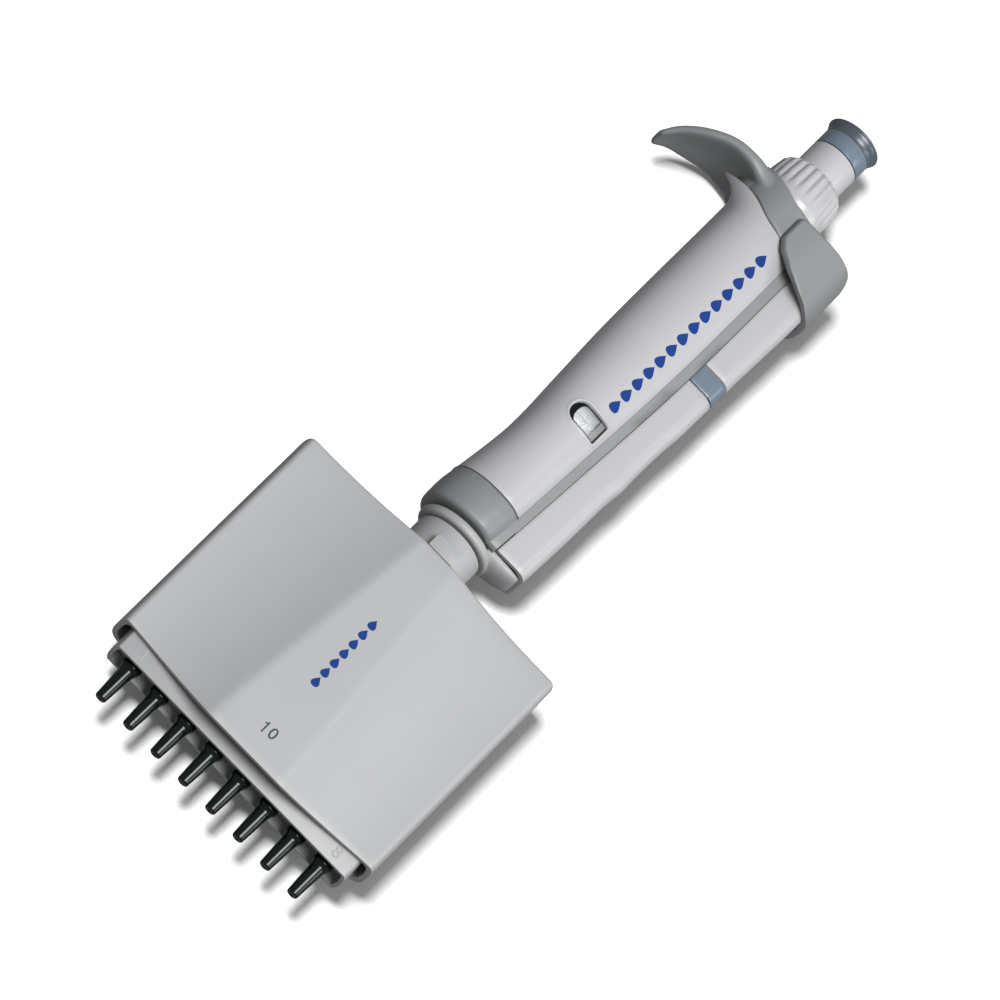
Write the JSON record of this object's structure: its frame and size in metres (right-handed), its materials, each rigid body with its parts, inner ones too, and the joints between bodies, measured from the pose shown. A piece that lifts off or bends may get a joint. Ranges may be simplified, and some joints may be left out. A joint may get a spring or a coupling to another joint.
{
  "type": "multichannel pipette",
  "caption": "Hand-held multichannel air-displacement pipette with a flat swivelling lower part, a row of tip cones, finger hook, side tip ejector and a press-and-turn control button.",
  "frame": {"origin": "on the surface it lies on, under the middle of the bounding box", "axes": "+X along the row of cones towards the ejector's side, +Y along the pipette from the cones to the control button, +Z out of its front, which faces up"},
  "size_m": [0.0824, 0.242, 0.0286],
  "materials": {
    "shell": "satin light grey moulded plastic",
    "housing": "satin pale grey moulded plastic",
    "grey": "satin mid grey moulded plastic",
    "white": "satin white plastic",
    "blue_grey": "semi-gloss blue-grey plastic",
    "black": "glossy black plastic",
    "lens": "clear",
    "steel": "bright"
  },
  "bodies": {
    "handle": {"front_shell": "shell", "rear_shell": "shell", "display_window": "lens", "grip_frame": "grey", "finger_hook": "grey", "upper_bush": "white", "lower_bush": "white", "main_spring": "steel", "ejector_spring": "steel"},
    "plunger": {"control_button": "white", "button_band": "blue_grey", "button_cap": "blue_grey", "push_rod": "steel"},
    "volume_setting": {"volume_ring": "white", "spindle_sleeve": "steel"},
    "tenths_counter": {"tenths_wheel": "white"},
    "units_counter": {"units_wheel": "white"},
    "tens_counter": {"tens_wheel": "white"},
    "stroke_stop": {"stop_nut": "steel"},
    "ejector": {"ejector_button": "grey", "ejector_spine": "shell", "spine_band": "blue_grey", "ejector_arm": "housing"},
    "lower_part": {"housing_front": "housing", "housing_rear": "housing", "housing_screw_left": "steel", "housing_screw_right": "steel", "neck_tube": "white", "lower_cone_plate": "white", "upper_cone_plate": "white", "cone_spring_1": "steel", "cone_spring_2": "steel", "cone_spring_3": "steel", "cone_spring_4": "steel", "cone_spring_5": "steel", "cone_spring_6": "steel", "cone_spring_7": "steel", "cone_spring_8": "steel"},
    "tip_ejector": {"ejector_sleeve": "housing", "ejector_yoke": "white", "ejector_bar": "housing"},
    "pistons": {"piston_carriage": "white", "piston_1": "steel", "piston_2": "steel", "piston_3": "steel", "piston_4": "steel", "piston_5": "steel", "piston_6": "steel", "piston_7": "steel", "piston_8": "steel"},
    "cone_1_body": {"cone_1": "black"},
    "cone_2_body": {"cone_2": "black"},
    "cone_3_body": {"cone_3": "black"},
    "cone_4_body": {"cone_4": "black"},
    "cone_5_body": {"cone_5": "black"},
    "cone_6_body": {"cone_6": "black"},
    "cone_7_body": {"cone_7": "black"},
    "cone_8_body": {"cone_8": "black"}
  },
  "joints": [
    {"name": "plunger_press", "type": "slide", "parent": "handle", "child": "plunger", "axis": [0, -1, 0], "range_m": [0, 0.0125], "stiffness_N_per_m": 300, "springref_m": -0.01, "deforming": ["main_spring"]},
    {"name": "piston_travel", "type": "slide", "parent": "lower_part", "child": "pistons", "axis": [0, -1, 0], "range_m": [0, 0.0125]},
    {"name": "volume_turn", "type": "hinge", "parent": "handle", "child": "volume_setting", "pos_m": [0, 0.094, 0.0144], "axis": [0, 1, 0], "range_deg": [0, 3420]},
    {"name": "tenths_turn", "type": "hinge", "parent": "handle", "child": "tenths_counter", "pos_m": [0, 0.009, 0.0144], "axis": [0, 1, 0], "range_deg": [0, 3420]},
    {"name": "units_turn", "type": "hinge", "parent": "handle", "child": "units_counter", "pos_m": [0, 0.0113, 0.0144], "axis": [0, 1, 0], "range_deg": [0, 342]},
    {"name": "tens_turn", "type": "hinge", "parent": "handle", "child": "tens_counter", "pos_m": [0, 0.0136, 0.0144], "axis": [0, 1, 0], "range_deg": [0, 34.2]},
    {"name": "stop_travel", "type": "slide", "parent": "handle", "child": "stroke_stop", "axis": [0, 1, 0], "range_m": [0, 0.0095]},
    {"name": "ejector_press", "type": "slide", "parent": "handle", "child": "ejector", "axis": [0, -1, 0], "range_m": [0, 0.006], "stiffness_N_per_m": 400, "springref_m": -0.008, "deforming": ["ejector_spring"]},
    {"name": "swivel", "type": "hinge", "parent": "handle", "child": "lower_part", "pos_m": [0, -0.0242, 0.0144], "axis": [0, 1, 0], "continuous": true},
    {"name": "tip_ejector_travel", "type": "slide", "parent": "lower_part", "child": "tip_ejector", "axis": [0, -1, 0], "range_m": [0, 0.006]},
    {"name": "cone_1_spring_travel", "type": "slide", "parent": "lower_part", "child": "cone_1_body", "axis": [0, 1, 0], "range_m": [0, 0.003], "stiffness_N_per_m": 800, "springref_m": -0.002, "deforming": ["cone_spring_1"]},
    {"name": "cone_2_spring_travel", "type": "slide", "parent": "lower_part", "child": "cone_2_body", "axis": [0, 1, 0], "range_m": [0, 0.003], "stiffness_N_per_m": 800, "springref_m": -0.002, "deforming": ["cone_spring_2"]},
    {"name": "cone_3_spring_travel", "type": "slide", "parent": "lower_part", "child": "cone_3_body", "axis": [0, 1, 0], "range_m": [0, 0.003], "stiffness_N_per_m": 800, "springref_m": -0.002, "deforming": ["cone_spring_3"]},
    {"name": "cone_4_spring_travel", "type": "slide", "parent": "lower_part", "child": "cone_4_body", "axis": [0, 1, 0], "range_m": [0, 0.003], "stiffness_N_per_m": 800, "springref_m": -0.002, "deforming": ["cone_spring_4"]},
    {"name": "cone_5_spring_travel", "type": "slide", "parent": "lower_part", "child": "cone_5_body", "axis": [0, 1, 0], "range_m": [0, 0.003], "stiffness_N_per_m": 800, "springref_m": -0.002, "deforming": ["cone_spring_5"]},
    {"name": "cone_6_spring_travel", "type": "slide", "parent": "lower_part", "child": "cone_6_body", "axis": [0, 1, 0], "range_m": [0, 0.003], "stiffness_N_per_m": 800, "springref_m": -0.002, "deforming": ["cone_spring_6"]},
    {"name": "cone_7_spring_travel", "type": "slide", "parent": "lower_part", "child": "cone_7_body", "axis": [0, 1, 0], "range_m": [0, 0.003], "stiffness_N_per_m": 800, "springref_m": -0.002, "deforming": ["cone_spring_7"]},
    {"name": "cone_8_spring_travel", "type": "slide", "parent": "lower_part", "child": "cone_8_body", "axis": [0, 1, 0], "range_m": [0, 0.003], "stiffness_N_per_m": 800, "springref_m": -0.002, "deforming": ["cone_spring_8"]}
  ],
  "couplings": [
    {"joint": "piston_travel", "follows": "plunger_press", "ratio": 1},
    {"joint": "tenths_turn", "follows": "volume_turn", "ratio": 1},
    {"joint": "units_turn", "follows": "volume_turn", "ratio": 0.1},
    {"joint": "tens_turn", "follows": "volume_turn", "ratio": 0.01},
    {"joint": "stop_travel", "follows": "volume_turn", "m_per_rad": 0.000159},
    {"joint": "tip_ejector_travel", "follows": "ejector_press", "ratio": 1}
  ]
}
